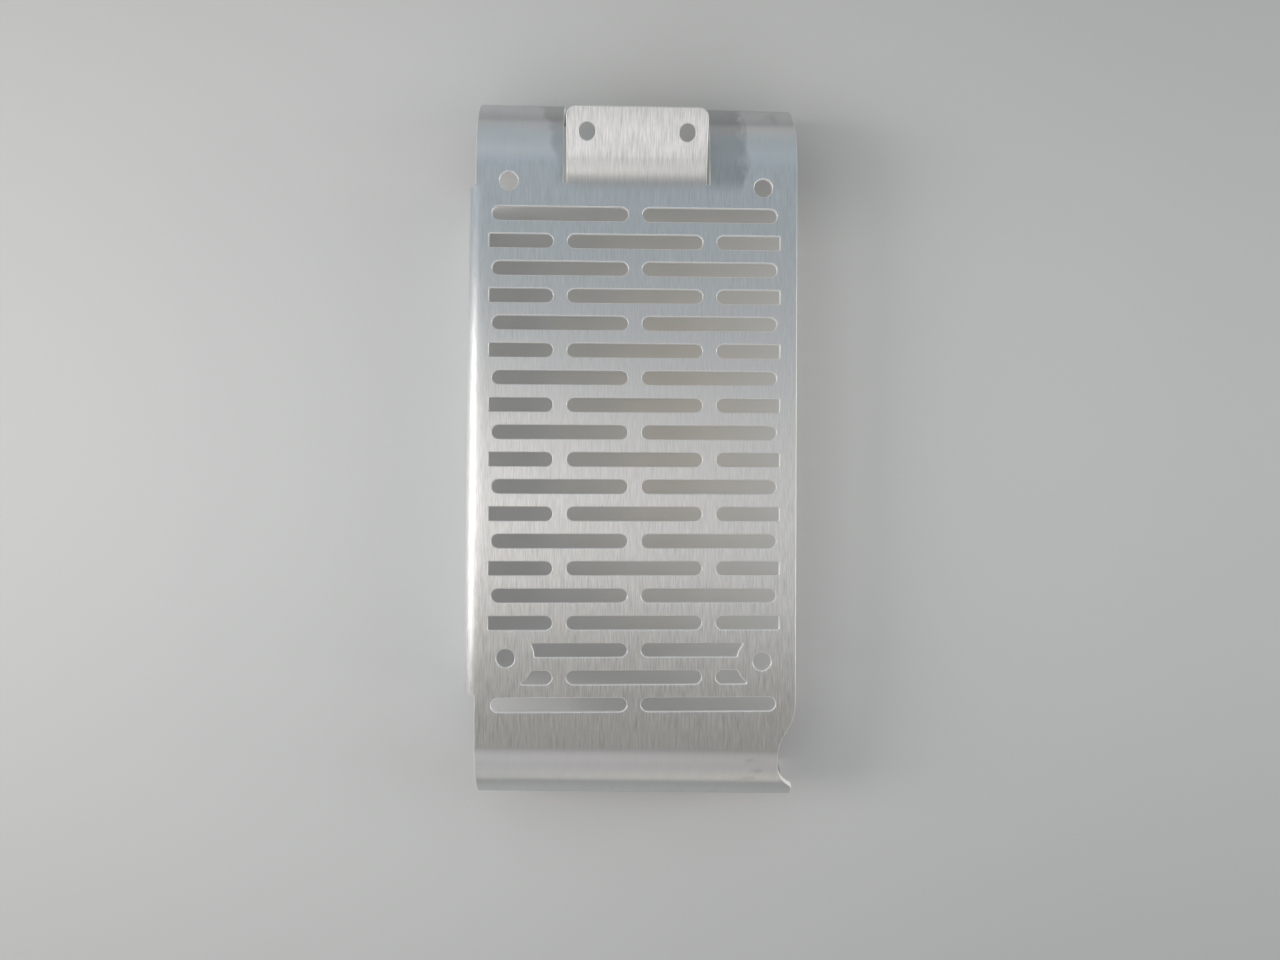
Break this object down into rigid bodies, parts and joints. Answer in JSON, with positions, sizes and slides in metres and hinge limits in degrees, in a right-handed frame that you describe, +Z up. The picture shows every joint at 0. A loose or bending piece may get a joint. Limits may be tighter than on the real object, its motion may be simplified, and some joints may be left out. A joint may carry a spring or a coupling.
{
  "type": "motorcycle radiator guard",
  "caption": "Folded sheet guard for a motorcycle radiator: slotted grille face, side flange, rolled lip with a notch, two rolled ears and a raised mounting tab.",
  "frame": {"origin": "under the middle of the guard's bounding box, on the surface that the rolled ends and the flange's edge lie on", "axes": "+X across the guard, away from the side flange; +Y along the guard, towards the raised tab; +Z up out of the slotted face"},
  "size_m": [0.1224, 0.2666, 0.0474],
  "materials": {
    "brushed_sheet": "brushed along the guard's length, bare, with light scuffs"
  },
  "bodies": {
    "root": {"guard_sheet": "brushed_sheet"}
  },
  "joints": []
}
